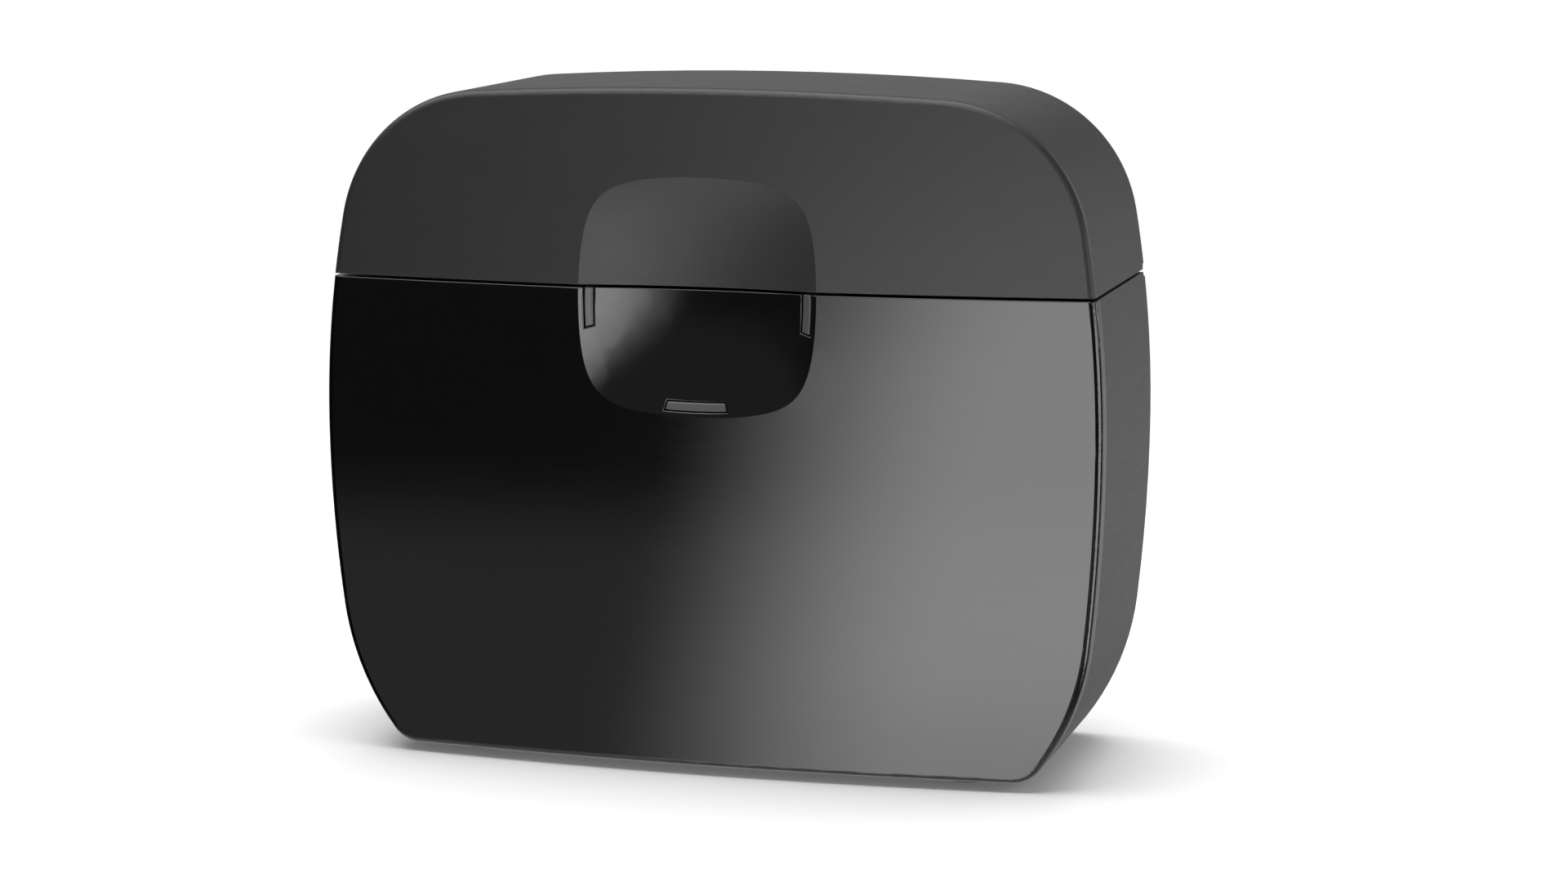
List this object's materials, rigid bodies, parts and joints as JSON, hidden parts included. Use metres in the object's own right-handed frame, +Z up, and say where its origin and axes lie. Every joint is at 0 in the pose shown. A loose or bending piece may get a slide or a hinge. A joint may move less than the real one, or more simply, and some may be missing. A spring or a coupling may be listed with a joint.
{
  "type": "hearing aid charging station",
  "caption": "Upright desktop charging station for hearing aids: rounded case, hinged lid opened at a finger dish, status windows, charging cups under the lid and a rear power inlet.",
  "frame": {"origin": "centre of the footprint at the surface it stands on", "axes": "+X to the right as seen from the front, +Y from the front panel to the back, +Z up"},
  "size_m": [0.096, 0.037, 0.0826],
  "materials": {
    "case": "fine matte texture, dark grey",
    "panel": "polished black",
    "window": "frosted light guide, grey",
    "tray": "satin black",
    "liner": "satin black",
    "pad": "soft foam rubber",
    "foot": "matte rubber",
    "tape": "thin foam tape",
    "steel": "plain steel",
    "socket": "plated shell",
    "magnet": "nickel plated",
    "board": "green solder mask",
    "chip": "moulded black",
    "led": "clear resin",
    "flex": "amber film",
    "connector": "ivory plastic",
    "copper": "enamelled copper",
    "ferrite": "pressed ferrite",
    "lead": "wire sleeve",
    "mark_left": "blue",
    "mark_right": "red"
  },
  "bodies": {
    "base": {"housing": "case", "front_frame": "case", "panel_tape": "tape", "front_panel": "panel", "frame_screws": "steel", "status_window_left": "window", "status_window_right": "window", "status_window_power": "window", "light_board": "board", "status_leds": "led", "light_board_screws": "steel", "flex_cable": "flex", "flex_sockets": "connector", "main_board": "board", "board_screws": "steel", "board_chips": "chip", "usb_socket": "socket", "usb_tongue": "chip", "charging_tray": "tray", "aid_cup_left": "tray", "aid_cup_right": "tray", "receiver_cup_left": "tray", "receiver_cup_right": "tray", "left_mark": "mark_left", "right_mark": "mark_right", "charge_coil_left": "copper", "charge_coil_right": "copper", "ferrite_left": "ferrite", "ferrite_right": "ferrite", "coil_lead_left": "lead", "coil_lead_right": "lead", "coil_plugs": "connector", "tray_magnets": "magnet", "rubber_feet": "foot", "hinge_pin": "steel"},
    "lid": {"lid_shell": "case", "lid_liner": "liner", "liner_screws": "steel", "lid_magnets": "magnet", "aid_pad_left": "pad", "aid_pad_right": "pad"}
  },
  "joints": [
    {"name": "lid_hinge", "type": "hinge", "parent": "base", "child": "lid", "pos_m": [0, 0.0163, 0.0591], "axis": [-1, 0, 0], "range_deg": [0, 95]}
  ]
}
